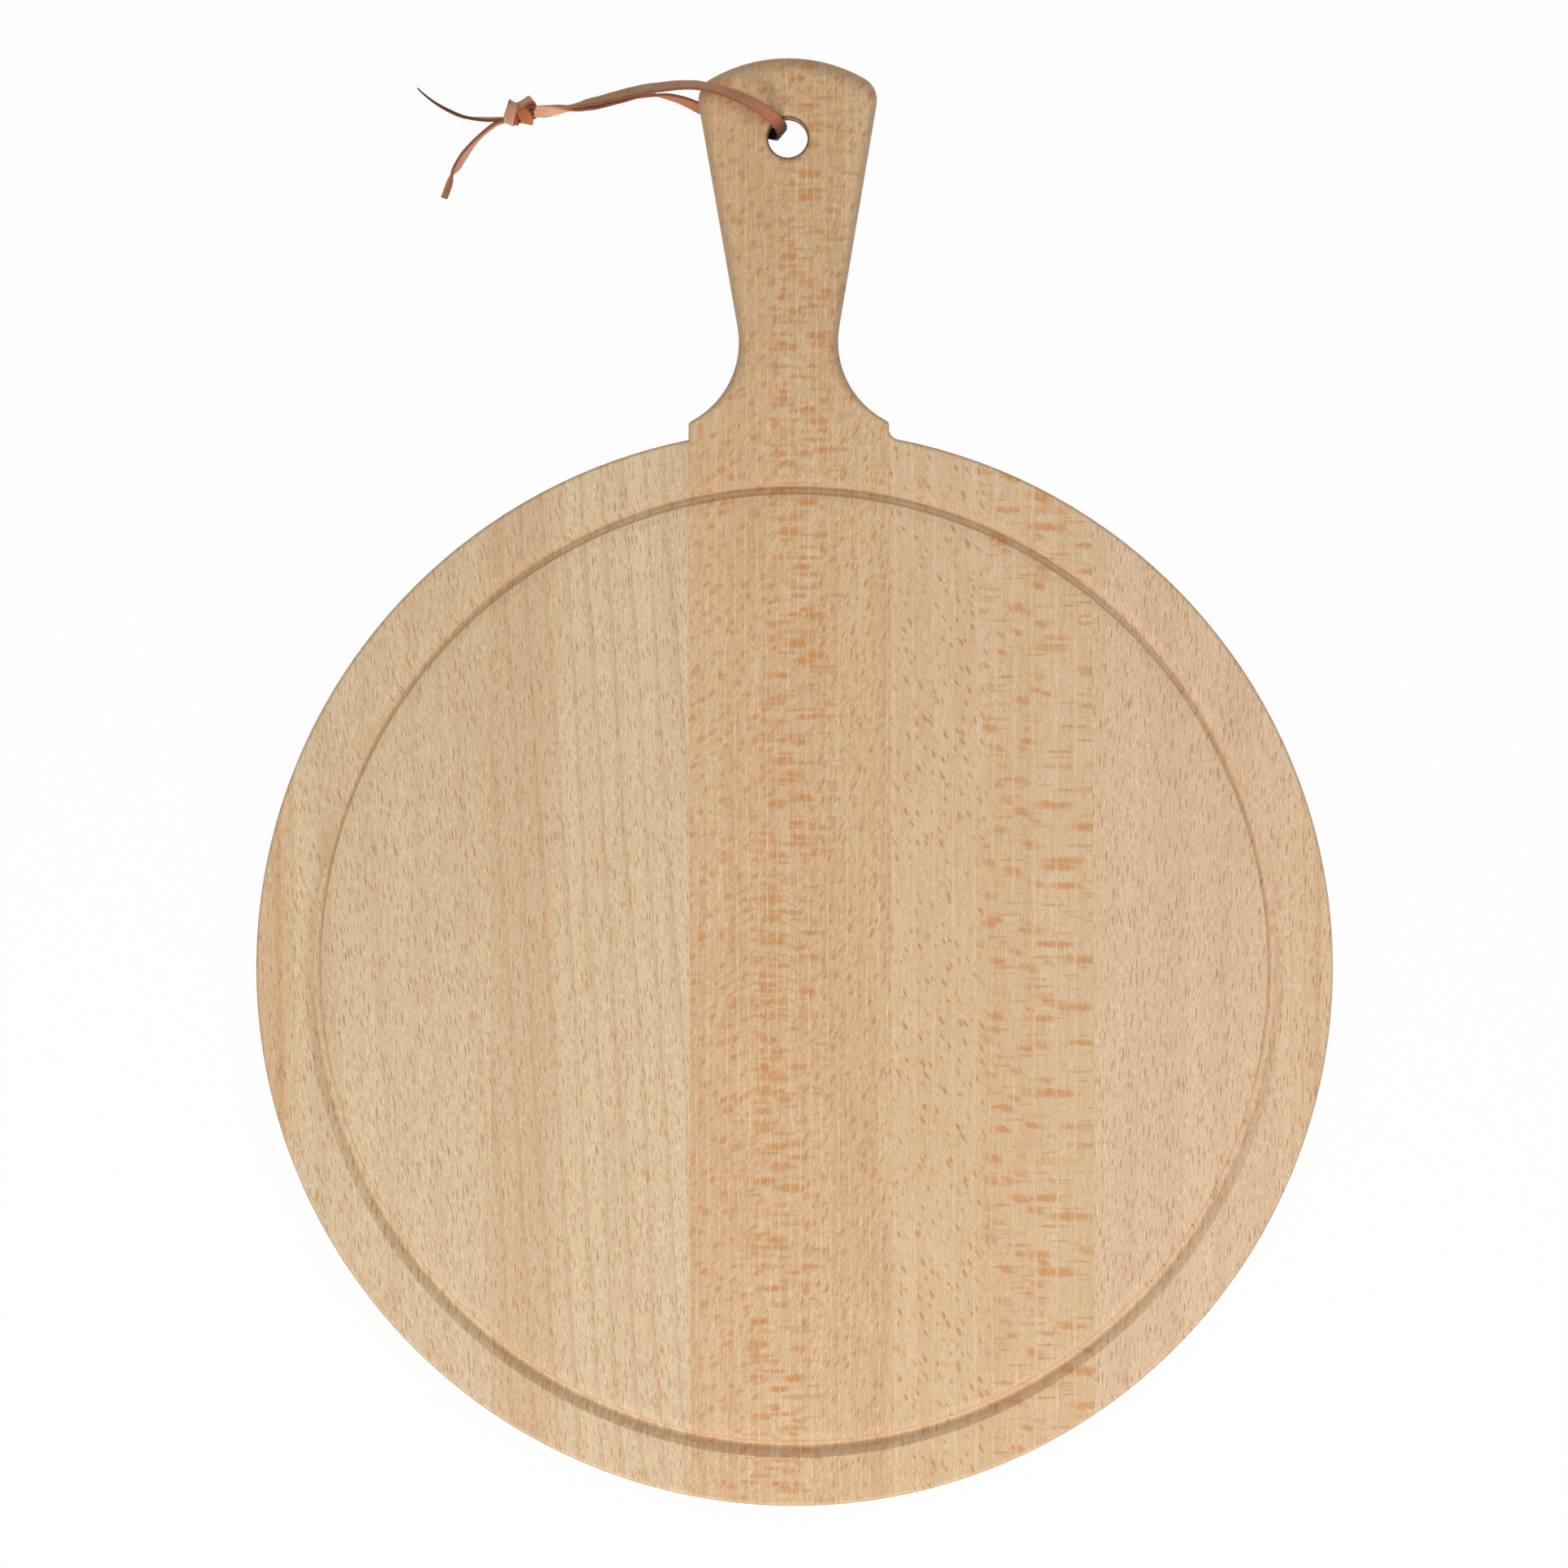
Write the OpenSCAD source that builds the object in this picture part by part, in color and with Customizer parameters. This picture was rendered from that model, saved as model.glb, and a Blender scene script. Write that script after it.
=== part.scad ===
// Round pizza serving board. Seven beech staves are glued edge to edge and turned to a
// disc with a juice groove near its rim. The middle stave runs on past the disc as the
// handle, and a flat leather thong, tied to itself in an overhand knot, hangs in its hole.
// The origin is the centre of the disc's underside. +Y points along the handle, +Z is up.

/* [Board] */
// Diameter of the round board
board_d = 340; // [330:1:380]
// Thickness of the board
board_t = 18; // [16:0.5:26]
// Rounding of the board's upper and lower edge
edge_r = 1.2; // [0.6:0.1:2]

/* [Staves] */
// Width of the middle stave, which is also the width of the handle's shoulders
stave_4_w = 63.3; // [58:0.1:66]
// Width of the narrow stave at the board's left edge
left_edge_w = 11.9; // [8:0.1:20]
// Width of the narrow stave at the board's right edge
right_edge_w = 13.5; // [8:0.1:20]
// How far the middle stave and the handle lie to the left of the disc's centre
stave_shift = 1.3; // [0:0.1:3]
// Thickness of the glue film in each joint
glue_t = 0.1; // [0.1:0.05:0.4]

/* [Juice groove] */
// Distance from the board's edge to the deepest line of the groove
groove_inset = 18.9; // [14:0.1:40]
// Width of the groove's sloping side towards the middle of the board, seen from above
groove_inner_w = 4; // [3.6:0.1:5]
// Width of its sloping side towards the edge of the board
groove_outer_w = 3.7; // [3.4:0.1:5]
// Depth of the groove
groove_depth = 2.2; // [1.8:0.1:2.6]

/* [Handle] */
// Length of the handle beyond the disc
handle_len = 117.6; // [100:0.1:140]
// Width of the neck where it is narrowest
neck_w = 31.4; // [26:0.1:38]
// Radius of the neck's hollow sides
neck_r = 28.5; // [26:0.1:32]
// Distance from the disc to the narrowest part of the neck
neck_gap = 27.8; // [26:0.1:34]
// Angle at which each side opens out towards the handle's end
flare_angle = 9.7; // [5:0.1:12]
// Radius of the curve that ends the handle
handle_end_r = 48.7; // [44:0.1:80]
// Radius of the two corners of the handle's end
handle_corner_r = 7.8; // [7:0.1:12]
// Rounding of the handle's edges, which fades out on the neck's hollow sides
handle_round = 5.6; // [3:0.1:6.4]
// Radius of the shoulders' outer corners, seen from above
shoulder_r = 1.3; // [1.3:0.1:4]
// Radius of the hollow in the inner corner of the right shoulder
fillet_r = 3.6; // [2.4:0.1:4]
// How far the handle's underside is raised above the board's
handle_relief = 2.4; // [2.2:0.1:3.5]
// Distance from the disc to the start of that rise
relief_gap = 8; // [6:0.5:14]
// Length of that rise
relief_len = 26; // [20:0.5:34]

/* [Hanging hole] */
// Diameter of the hole
hole_d = 12.6; // [10:0.1:18]
// Distance from the handle's end to the middle of the hole
hole_gap = 25.4; // [20:0.1:32]
// Rounding of the hole's two rims
hole_rim_r = 2; // [0.5:0.1:3]

/* [Thong] */
// Width of the flat leather lace
thong_w = 4; // [3.5:0.1:4.6]
// Thickness of the lace
thong_t = 1; // [0.8:0.1:1.3]
// Gap between the two strands of the loop where they lie together
strand_gap = 0.5; // [0.4:0.1:0.7]

/* [Hidden] */

// Circles and turned forms
$fn = 96;
disc_facets = 240;
channel_steps = 6;

// One overrun serves every cut that passes through something
overrun = 2;

board_r = board_d / 2;
axis_x = -stave_shift;

function mix(a, b, t) = a + (b - a) * t;
function ease(t) = let (c = min(max(t, 0), 1)) c * c * (3 - 2 * c);

// The joints, from the left. The middle and the two edge staves have their own widths, and
// two staves fill the space on each side between them, in these shares.
left_fill_share = 0.497;
right_fill_share = 0.507;
first_joint = glue_t / 2 + left_edge_w - board_r;
left_joint = axis_x - (stave_4_w + glue_t) / 2;
right_joint = axis_x + (stave_4_w + glue_t) / 2;
last_joint = board_r - right_edge_w - glue_t / 2;
joint_xs = [first_joint, mix(first_joint, left_joint, left_fill_share), left_joint,
    right_joint, mix(right_joint, last_joint, right_fill_share), last_joint];

// The sides of stave k, which is 1 for the first stave
stave_lefts = concat([-board_r - overrun], [for (x = joint_xs) x + glue_t / 2]);
stave_rights = concat([for (x = joint_xs) x - glue_t / 2], [board_r + overrun]);
function stave_left(k) = stave_lefts[k - 1];
function stave_right(k) = stave_rights[k - 1];

// The groove's section: a round channel whose walls stand at these angles, between an inner
// and an outer shoulder that slope gently down to it
groove_r = board_r - groove_inset;
channel_r = 1.2;
channel_walls = [58, 46];
channel_half_ws = [1.7, 1.9];
shoulder_slopes = [10, 25];
channel_z = channel_r - groove_depth;
channel_tops = [
    (channel_half_ws[0] - groove_inner_w) * tan(shoulder_slopes[0]),
    (channel_half_ws[1] - groove_outer_w) * tan(shoulder_slopes[1])];
groove_section = concat(
    [[-groove_inner_w, overrun], [-groove_inner_w, 0], [-channel_half_ws[0], channel_tops[0]]],
    [for (i = [0 : channel_steps])
        let (a = mix(-90 - channel_walls[0], channel_walls[1] - 90, i / channel_steps))
        [channel_r * cos(a), channel_z + channel_r * sin(a)]],
    [[channel_half_ws[1], channel_tops[1]], [groove_outer_w, 0], [groove_outer_w, overrun]]);

// The handle's outline, worked out on its own axis
neck_x = neck_w / 2 + neck_r;
neck_y = board_r + neck_gap;
shoulder_x = stave_4_w / 2 - shoulder_r;
shoulder_y = neck_y - sqrt(pow(neck_r + shoulder_r, 2) - pow(neck_x - shoulder_x, 2));
shoulder_turn = atan2(neck_y - shoulder_y, neck_x - shoulder_x);
side_x = neck_x - neck_r * cos(flare_angle);
side_y = neck_y + neck_r * sin(flare_angle);
end_y = board_r + handle_len;
end_centre_y = end_y - handle_end_r;
corner_line = side_x * cos(flare_angle) - side_y * sin(flare_angle) - handle_corner_r;
corner_reach = handle_end_r - handle_corner_r;
corner_turn = flare_angle + asin((corner_line + end_centre_y * sin(flare_angle)) / corner_reach);
corner_x = corner_reach * sin(corner_turn);
corner_y = end_centre_y + corner_reach * cos(corner_turn);
side_end_x = corner_x + handle_corner_r * cos(flare_angle);
side_end_y = corner_y - handle_corner_r * sin(flare_angle);
hole_y = end_y - hole_gap;

// The handle's root is buried in the disc, midway between the groove and the disc's edge
joint_reach = stave_4_w / 2 + stave_shift;
joint_edge_y = sqrt(pow(board_r, 2) - pow(joint_reach, 2));
root_y = (groove_r + groove_outer_w + joint_edge_y) / 2;

// The hollow in the right shoulder's inner corner touches the stave's side and the disc.
// Its feather edges are trimmed where the wedge thins out, at a share of its radius. Its
// edge rounding runs on into the stave, over this width.
fillet_trim_share = 0.3;
fillet_left = axis_x + stave_4_w / 2;
fillet_x = fillet_left + fillet_r;
fillet_y = sqrt(pow(board_r + fillet_r, 2) - pow(fillet_x, 2));
fillet_root_r = board_r - 2 * edge_r;
fillet_trim = fillet_trim_share * fillet_r;
fillet_turn = atan2(fillet_y, fillet_x) + asin(fillet_trim / board_r);
fillet_back = 2 * edge_r;

// Steps along the handle's outline and round its edges
shoulder_steps = 3;
neck_steps = 12;
side_steps = 5;
corner_steps = 7;
end_steps = 7;
round_steps = 5;

// An edge rounding in small flats, the same on the disc, the shoulders and the fillet
function edge_arc(x, z, first, final) = [for (i = [0 : round_steps])
    let (a = mix(first, final, i / round_steps)) [x + edge_r * cos(a), z + edge_r * sin(a)]];

// Half of the handle's outline, from its root to the middle of its end. Each entry holds
// the distance from the axis, y, the angle of the outward normal and the edge's rounding.
half_outline = concat(
    [[stave_4_w / 2, root_y, 0, edge_r]],
    [for (i = [0 : shoulder_steps])
        let (a = shoulder_turn * i / shoulder_steps)
        [shoulder_x + shoulder_r * cos(a), shoulder_y + shoulder_r * sin(a), a, edge_r]],
    [for (i = [1 : neck_steps])
        let (s = i / neck_steps, a = mix(shoulder_turn, -flare_angle, s))
        [neck_x - neck_r * cos(a), neck_y - neck_r * sin(a), a, mix(edge_r, handle_round, ease(s))]],
    [for (i = [1 : side_steps - 1])
        let (s = i / side_steps)
        [mix(side_x, side_end_x, s), mix(side_y, side_end_y, s), -flare_angle, handle_round]],
    [for (i = [0 : corner_steps])
        let (a = mix(-flare_angle, 90 - corner_turn, i / corner_steps))
        [corner_x + handle_corner_r * cos(a), corner_y + handle_corner_r * sin(a), a, handle_round]],
    [for (i = [1 : end_steps])
        let (a = mix(90 - corner_turn, 90, i / end_steps))
        [handle_end_r * cos(a), end_centre_y + handle_end_r * sin(a), a, handle_round]]);

function underside_z(y) = handle_relief * ease((y - board_r - relief_gap) / relief_len);

// One column of points from the underside to the top, at an entry of the outline
function column_point(p, side, inset, z) =
    [axis_x + side * (p[0] - inset * cos(p[2])), p[1] - inset * sin(p[2]), z];
function column(p, side) = let (low = underside_z(p[1] - p[3] * sin(p[2]))) concat(
    [for (j = [0 : round_steps]) let (a = 90 * j / round_steps)
        column_point(p, side, p[3] * (1 - sin(a)), low + p[3] * (1 - cos(a)))],
    [for (j = [0 : round_steps]) let (a = 90 * j / round_steps)
        column_point(p, side, p[3] * (1 - cos(a)), board_t - p[3] * (1 - sin(a)))]);

// Route of the lace: x, y, z, and the heading and tilt in degrees of its width.
// The two strands of the loop lie together along the first part.
pair_route = [
    [-81.5, 271.6, 3.5, 98, -170],
    [-77.6, 271.8, 3.1, 98, -138],
    [-74, 272.3, 3.1, 98, -104],
    [-70.9, 272.7, 3.1, 99, -86],
    [-67.7, 273.1, 3.1, 100, -72],
    [-64.6, 273.8, 3.2, 101, -60],
    [-61.5, 274.4, 3.3, 102, -53],
    [-58.4, 275.2, 3.5, 102, -50],
];
over_route = [
    [-55.2, 276.5, 5, 102, -50],
    [-52.1, 277.2, 6.9, 101, -50],
    [-48.9, 277.7, 9.2, 100, -50],
    [-45.8, 278.1, 11.6, 99, -50],
    [-42.6, 278.3, 13.9, 97, -50],
    [-39.5, 278.5, 15.9, 95, -50],
    [-36.4, 278.7, 17.6, 93, -50],
    [-33.2, 278.7, 19, 90, -50],
    [-30, 278.5, 20.1, 86, -50],
    [-26.4, 277.8, 20.9, 80, -49],
    [-22.2, 276.7, 21.6, 75, -44],
    [-18.1, 275.2, 22.1, 70, -37],
    [-14.2, 273.5, 22.4, 65, -29],
    [-10.8, 271.6, 22.4, 60, -19],
    [-7.7, 269.7, 21.7, 54, -8],
    [-5.3, 267.6, 19.6, 49, 4],
];
hole_route = [
    [-3.7, 266, 16, 45, 8],
    [-3.2, 264.5, 11, 46, 4],
    [-3.5, 263.9, 6.2, 52, 0],
    [-5.2, 263.9, 2.5, 60, 0],
];
under_route = [
    [-8.6, 264.5, 1.1, 66, 0],
    [-14, 266.5, 1, 69, 0],
    [-20, 269, 1, 68, 2],
    [-25.4, 271.2, 1.2, 69, 14],
    [-30.3, 273.2, 1.9, 72, 44],
    [-33.4, 274.6, 2.2, 80, 56],
    [-36.6, 275.7, 2.4, 88, 66],
    [-39.7, 276.4, 2.6, 93, 76],
    [-42.8, 276.8, 2.8, 96, 95],
    [-45.9, 277, 3, 98, 112],
    [-49, 276.9, 3.2, 100, 122],
    [-52.1, 276.2, 3.3, 101, 127],
    [-55.3, 275.4, 3.4, 102, 130],
];
upper_tail_route = [
    [-91.1, 269.2, 4.3, 98, 84],
    [-93.4, 269.2, 3.9, 98, 82],
    [-96.2, 269.2, 3.1, 94, 80],
    [-99.1, 269.4, 2.6, 88, 83],
    [-102.1, 269.7, 2.3, 80, 88],
    [-105.1, 270.4, 2.3, 70, 90],
    [-108.1, 271.7, 2.3, 63, 90],
    [-111, 273.2, 2.3, 58, 90],
    [-114, 275.1, 2.3, 54, 90],
    [-117, 277.5, 2.3, 48, 90],
    [-118.7, 279.2, 2.3, 46, 90],
];
lower_tail_route = [
    [-91.1, 267.8, 2.8, 108, 88],
    [-93.2, 267.5, 2.6, 118, 86],
    [-95.3, 266.7, 2.3, 127, 85],
    [-98.7, 264.2, 2.3, 132, 84],
    [-101.4, 261.4, 2.2, 136, 77],
    [-104.1, 257.9, 2.2, 142, 66],
    [-106.2, 254.5, 2.2, 146, 66],
    [-107.7, 252.4, 2.3, 152, 86],
    [-108.5, 250, 2.2, 160, 108],
    [-109.2, 247.7, 2.2, 162, 114],
    [-110.5, 244.3, 2.2, 160, 114],
];
loop_steps = 2;
tail_steps = 1;
half_turn = 180;

function unit(v) = v / norm(v);
function width_way(r) = [cos(r[3]) * cos(r[4]), sin(r[3]) * cos(r[4]), sin(r[4])];
function place(r) = [r[0], r[1], r[2]];
function curve(a, b, c, d, t) = b + (c - a) * t / 2
    + (2 * a - 5 * b + 4 * c - d) * t * t / 2 + (3 * b - a - 3 * c + d) * t * t * t / 2;
function smooth_route(r, steps) = let (last = len(r) - 1) concat(
    [for (i = [0 : last - 1]) for (j = [0 : steps - 1])
        curve(r[max(i - 1, 0)], r[i], r[i + 1], r[min(i + 2, last)], j / steps)],
    [r[last]]);

// A strand lies half a lace and half a gap to one side of the pair's middle. The one that
// comes back from under the handle has turned over once.
pair_way = unit(place(pair_route[1]) - place(pair_route[0]));
function strand(r, side) =
    let (p = place(r) + side * (thong_t + strand_gap) / 2 * unit(cross(pair_way, width_way(r))))
    [p[0], p[1], p[2], r[3], r[4] + (side < 0 ? half_turn : 0)];
pair_last = len(pair_route) - 1;
loop_route = concat(
    [for (r = pair_route) strand(r, 1)],
    over_route,
    hole_route,
    under_route,
    [for (i = [0 : pair_last]) strand(pair_route[pair_last - i], -1)]);

// Half of the lace's section across its width and its thickness, with eased edges
lace_ease = thong_t / 4;
function section(half_w, half_t, ease_w) = [
    [half_w, half_t - ease_w], [half_w - ease_w, half_t], [ease_w - half_w, half_t],
    [-half_w, half_t - ease_w], [-half_w, ease_w - half_t], [ease_w - half_w, -half_t],
    [half_w - ease_w, -half_t], [half_w, ease_w - half_t]];

// One ring of points across the lace at a place on its route
function ring(p, way, width, profile) =
    let (across = unit(width - (width * way) * way), up = cross(way, across))
    [for (s = profile) p + s[0] * across + s[1] * up];

// The knot: a core of both strands, a near wrap across its left half, and two slanting
// wraps that cross on its right half. Its sizes follow the lace. The core starts where the
// pair ends, and runs on along the pair's way.
knot_half_len_share = 1.2;
knot_half_len = knot_half_len_share * thong_w;
knot_ring_steps = 18;
knot_at = place(pair_route[0]) - knot_half_len * pair_way;
knot_turn = atan2(pair_way[1], pair_way[0]);
knot_pitch = asin(-pair_way[2]);
wrap_shift_shares = [-0.5, 0.36, 0.3];
wrap_lean_angles = [8, 27, -38];
wrap_across_shares = [0.84, 0.8, 0.82];
wrap_up_shares = [0.76, 0.68, 0.73];
wrap_width_shares = [0.46, 0.42, 0.34];

// A tail starts on the core's far face
function on_knot(r) =
    let (p = place(r), q = p - ((p - knot_at) * pair_way + knot_half_len) * pair_way)
    [q[0], q[1], q[2], r[3], r[4]];
function tail(route) = [for (i = [0 : len(route) - 1]) i == 0 ? on_knot(route[i]) : route[i]];

module turned_board() {
    rotate_extrude($fn = disc_facets) polygon(concat(
        [[0, 0]],
        edge_arc(board_r - edge_r, edge_r, -90, 0),
        edge_arc(board_r - edge_r, board_t - edge_r, 0, 90),
        [[0, board_t]]));
}

module juice_groove() {
    rotate_extrude($fn = disc_facets)
        translate([groove_r, board_t]) polygon(groove_section);
}

module grooved_board() {
    difference() {
        turned_board();
        juice_groove();
    }
}

// Full-height block between two places across the board
module slab(left, right) {
    translate([left, -board_r - overrun, -overrun])
        cube([right - left, 2 * (board_r + overrun), board_t + 2 * overrun]);
}

// The part of the board that one stave takes up
module stave_part(k) {
    intersection() {
        grooved_board();
        slab(stave_left(k), stave_right(k));
    }
}

// The film in joint k, between staves k and k + 1
module glue_part(k) {
    intersection() {
        grooved_board();
        slab(stave_right(k), stave_left(k + 1));
    }
}

// The router's round cutter shapes the hollow between the right shoulder and the disc's edge.
// It works on the stave's own corner and on the wedge beside it.
function on_root(x) = [x, sqrt(pow(fillet_root_r, 2) - pow(x, 2))];
corner_outline = [
    on_root(fillet_left - fillet_back),
    on_root(fillet_left),
    [fillet_left, fillet_y],
    [fillet_left - fillet_back, fillet_y]];
wedge_outline = [
    on_root(fillet_left),
    fillet_root_r * [cos(fillet_turn), sin(fillet_turn)],
    [fillet_x, fillet_y],
    [fillet_left, fillet_y - fillet_trim]];
module fillet_cut(outline) {
    difference() {
        linear_extrude(board_t) polygon(outline);
        translate([fillet_x, fillet_y, 0]) rotate_extrude() polygon(concat(
            [[0, -overrun], [fillet_r + edge_r, -overrun]],
            edge_arc(fillet_r + edge_r, edge_r, 270, 180),
            edge_arc(fillet_r + edge_r, board_t - edge_r, 180, 90),
            [[fillet_r + edge_r, board_t + overrun], [0, board_t + overrun]]));
    }
}

module fillet_part(left, right) {
    intersection() {
        fillet_cut(wedge_outline);
        slab(left, right);
    }
}

// The handle with its shoulders: columns of points stand along the outline, and strips
// across the axis close the top and the underside
module handle_blank() {
    last = len(half_outline) - 1;
    count = 2 * last + 1;
    high = 2 * (round_steps + 1);
    columns = [for (c = [0 : count - 1])
        column(half_outline[c <= last ? c : 2 * last - c], c < last ? -1 : 1)];
    points = [for (c = columns) each c];
    function at(c, k) = c * high + k;
    sides = [for (c = [0 : count - 2]) for (k = [0 : high - 2]) each [
        [at(c, k), at(c + 1, k), at(c + 1, k + 1)],
        [at(c, k), at(c + 1, k + 1), at(c, k + 1)]]];
    strips = [for (c = [0 : last - 2]) each [
        [at(c, high - 1), at(c + 1, high - 1), at(count - 1 - c, high - 1)],
        [at(c + 1, high - 1), at(count - 2 - c, high - 1), at(count - 1 - c, high - 1)],
        [at(c, 0), at(count - 1 - c, 0), at(c + 1, 0)],
        [at(c + 1, 0), at(count - 1 - c, 0), at(count - 2 - c, 0)]]];
    tips = [
        [at(last - 1, high - 1), at(last, high - 1), at(last + 1, high - 1)],
        [at(last - 1, 0), at(last + 1, 0), at(last, 0)]];
    root = [for (k = [0 : high - 2]) each [
        [at(0, k), at(count - 1, k + 1), at(count - 1, k)],
        [at(0, k), at(0, k + 1), at(count - 1, k + 1)]]];
    polyhedron(points, concat(sides, strips, tips, root));
}

module hanging_hole() {
    low = underside_z(hole_y);
    translate([axis_x, hole_y, 0]) {
        cylinder(h = board_t + overrun, d = hole_d);
        rotate_extrude() difference() {
            translate([0, board_t - hole_rim_r])
                square([hole_d / 2 + hole_rim_r, hole_rim_r + overrun]);
            translate([hole_d / 2 + hole_rim_r, board_t - hole_rim_r]) circle(hole_rim_r);
        }
        rotate_extrude() difference() {
            square([hole_d / 2 + hole_rim_r, low + hole_rim_r]);
            translate([hole_d / 2 + hole_rim_r, low + hole_rim_r]) circle(hole_rim_r);
        }
    }
}

module stave_1() { color("burlywood") stave_part(1); }
module stave_2() { color("wheat") stave_part(2); }
module stave_3() { color("navajowhite") stave_part(3); }
module stave_5() {
    color("burlywood") {
        stave_part(5);
        fillet_part(stave_left(5), stave_right(5));
    }
}
module stave_6() { color("wheat") stave_part(6); }
module stave_7() { color("burlywood") stave_part(7); }

module stave_4() {
    color("burlywood") difference() {
        union() {
            stave_part(4);
            handle_blank();
            fillet_cut(corner_outline);
        }
        hanging_hole();
    }
}

module glue_line_1() { color("tan") glue_part(1); }
module glue_line_2() { color("tan") glue_part(2); }
module glue_line_3() { color("tan") glue_part(3); }
module glue_line_4() {
    color("tan") {
        glue_part(4);
        fillet_part(stave_right(4), stave_left(5));
    }
}
module glue_line_5() { color("tan") glue_part(5); }
module glue_line_6() { color("tan") glue_part(6); }

// A strap through rings of points, closed by its two ends
module strap(rings) {
    n = len(rings[0]);
    last = len(rings) - 1;
    polyhedron([for (r = rings) each r], concat(
        [[for (i = [0 : n - 1]) i]],
        [for (i = [0 : last - 1]) for (j = [0 : n - 1]) let (m = (j + 1) % n) each [
            [i * n + j, (i + 1) * n + j, (i + 1) * n + m],
            [i * n + j, (i + 1) * n + m, i * n + m]]],
        [[for (i = [n - 1 : -1 : 0]) last * n + i]]));
}

// A length of lace along a route. The cut at each end is square to a way of its own.
module lace(route, steps, start_way, end_way) {
    r = smooth_route(route, steps);
    last = len(r) - 1;
    ways = [for (i = [0 : last])
        i == 0 ? start_way : i == last ? end_way : unit(place(r[i + 1]) - place(r[i - 1]))];
    strap([for (i = [0 : last])
        ring(place(r[i]), ways[i], width_way(r[i]), section(thong_w / 2, thong_t / 2, lace_ease))]);
}

module loose_tail(route) {
    last = len(route) - 1;
    lace(tail(route), tail_steps, -pair_way, unit(place(route[last]) - place(route[last - 1])));
}

// A closed wrap round the knot's core, leaning in the plane of the board
module wrap(i) {
    across = wrap_across_shares[i] * thong_w;
    up = wrap_up_shares[i] * thong_w;
    profile = section(wrap_width_shares[i] * thong_w, thong_t / 2, lace_ease);
    n = len(profile);
    m = knot_ring_steps;
    rings = [for (k = [0 : m - 1]) let (a = 360 * k / m)
        ring([0, across * cos(a), up * sin(a)], unit([0, -across * sin(a), up * cos(a)]),
            [1, 0, 0], profile)];
    translate([wrap_shift_shares[i] * thong_w, 0, 0]) rotate([0, 0, wrap_lean_angles[i]])
        polyhedron([for (r = rings) each r],
            [for (k = [0 : m - 1]) for (j = [0 : n - 1])
                let (b = (k + 1) % m, l = (j + 1) % n) each [
                [k * n + j, b * n + j, b * n + l],
                [k * n + j, b * n + l, k * n + l]]]);
}

module thong_knot() {
    core = section(thong_w / 2, thong_t + strand_gap / 2, lace_ease);
    color("sienna") translate(knot_at) rotate([0, knot_pitch, knot_turn]) {
        rotate([90, 0, 90]) rotate([0, 0, pair_route[0][4]])
            translate([0, 0, -knot_half_len]) linear_extrude(2 * knot_half_len) polygon(core);
        for (i = [0 : len(wrap_lean_angles) - 1]) wrap(i);
    }
}

module thong_loop() { color("peru") lace(loop_route, loop_steps, pair_way, -pair_way); }
module thong_tail_upper() { color("peru") loose_tail(upper_tail_route); }
module thong_tail_lower() { color("peru") loose_tail(lower_tail_route); }

stave_1();
stave_2();
stave_3();
stave_4();
stave_5();
stave_6();
stave_7();
glue_line_1();
glue_line_2();
glue_line_3();
glue_line_4();
glue_line_5();
glue_line_6();
thong_loop();
thong_knot();
thong_tail_upper();
thong_tail_lower();
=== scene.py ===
import math
import bpy
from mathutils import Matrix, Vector


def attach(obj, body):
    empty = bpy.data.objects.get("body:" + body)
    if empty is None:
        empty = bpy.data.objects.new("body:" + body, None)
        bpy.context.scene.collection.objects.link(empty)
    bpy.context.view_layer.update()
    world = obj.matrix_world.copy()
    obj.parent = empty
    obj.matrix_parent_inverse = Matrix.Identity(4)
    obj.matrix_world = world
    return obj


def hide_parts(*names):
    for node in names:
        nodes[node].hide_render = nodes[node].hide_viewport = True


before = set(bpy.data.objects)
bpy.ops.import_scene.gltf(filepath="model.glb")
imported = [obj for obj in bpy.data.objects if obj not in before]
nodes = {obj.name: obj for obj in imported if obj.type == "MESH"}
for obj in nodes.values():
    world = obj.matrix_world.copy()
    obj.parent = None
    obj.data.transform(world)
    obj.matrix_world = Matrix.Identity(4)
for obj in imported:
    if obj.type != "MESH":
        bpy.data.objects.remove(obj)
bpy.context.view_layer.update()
print("frame loaded:", len(nodes), "nodes")


# camera, straight above the board, as in the photograph

cameraFacts = {
    "over": (-0.00315, 0.05801),   # the point that it looks down on
    "height": 2.818,               # above the table
    "fieldWidth": 0.495,           # what the frame takes in at the board's top
    "boardTop": 0.018,
    "roll": -0.18,                 # degrees
    "sensor": 36,
}


def makeCamera(facts):
    data = bpy.data.cameras.new("camera")
    data.sensor_width = facts["sensor"]
    data.lens = facts["sensor"] * (facts["height"] - facts["boardTop"]) / facts["fieldWidth"]
    data.clip_end = 20
    camera = bpy.data.objects.new("camera", data)
    camera.location = (*facts["over"], facts["height"])
    camera.rotation_euler = (0, 0, math.radians(facts["roll"]))
    bpy.context.scene.collection.objects.link(camera)
    bpy.context.scene.camera = camera


makeCamera(cameraFacts)
print("camera placed")


# small helpers for modelling

def deselectAll():
    if bpy.context.object and bpy.context.object.mode != "OBJECT":
        bpy.ops.object.mode_set(mode="OBJECT")
    bpy.ops.object.select_all(action="DESELECT")


def makeActive(piece):
    deselectAll()
    piece.select_set(True)
    bpy.context.view_layer.objects.active = piece


def rgb(red, green, blue):
    # a colour given from 0 to 255, as the linear colour that Blender wants
    def linear(c):
        c = c / 255
        return c / 12.92 if c <= 0.04045 else ((c + 0.055) / 1.055) ** 2.4
    return (linear(red), linear(green), linear(blue), 1)


# the leather lace: x, y, z in millimetres, then the heading and tilt of its width in degrees

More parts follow.
